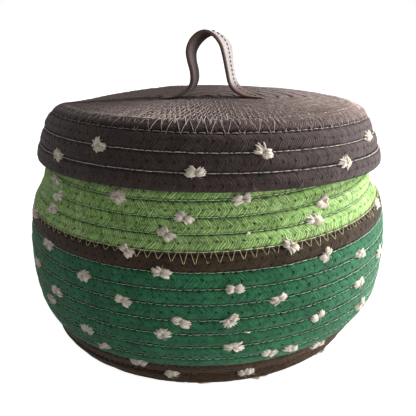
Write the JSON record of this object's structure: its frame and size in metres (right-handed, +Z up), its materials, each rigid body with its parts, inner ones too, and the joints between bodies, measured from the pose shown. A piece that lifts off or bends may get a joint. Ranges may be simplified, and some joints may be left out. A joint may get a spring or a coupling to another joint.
{
  "type": "rope basket with lid",
  "caption": "Round coiled-rope basket with a swelling wall in colour stretches, yarn tufts in its seams and a lift-off cap lid with a leather strap loop.",
  "frame": {"origin": "middle of the base, on the surface that the basket stands on", "axes": "+Z up through the lid, -Y towards the front that the picture shows, +X to the right"},
  "size_m": [0.2559, 0.2567, 0.2121],
  "materials": {
    "brown_rope": "matte braided cotton rope",
    "dark_green_rope": "matte braided cotton rope",
    "light_green_rope": "matte braided cotton rope",
    "lid_rope": "matte braided cotton rope",
    "cream_yarn": "fluffy undyed yarn",
    "strap_leather": "smooth leather with a slight sheen"
  },
  "bodies": {
    "basket": {"base_coil": "brown_rope", "lower_wall_coil": "dark_green_rope", "band_coil": "brown_rope", "upper_wall_coil": "light_green_rope", "wall_yarn": "cream_yarn"},
    "lid": {"lid_coil": "lid_rope", "lid_yarn": "cream_yarn", "handle_strap": "strap_leather"}
  },
  "joints": [
    {"name": "lid_lift", "type": "slide", "parent": "basket", "child": "lid", "axis": [0, 0, 1], "range_m": [0, 0.12]}
  ]
}
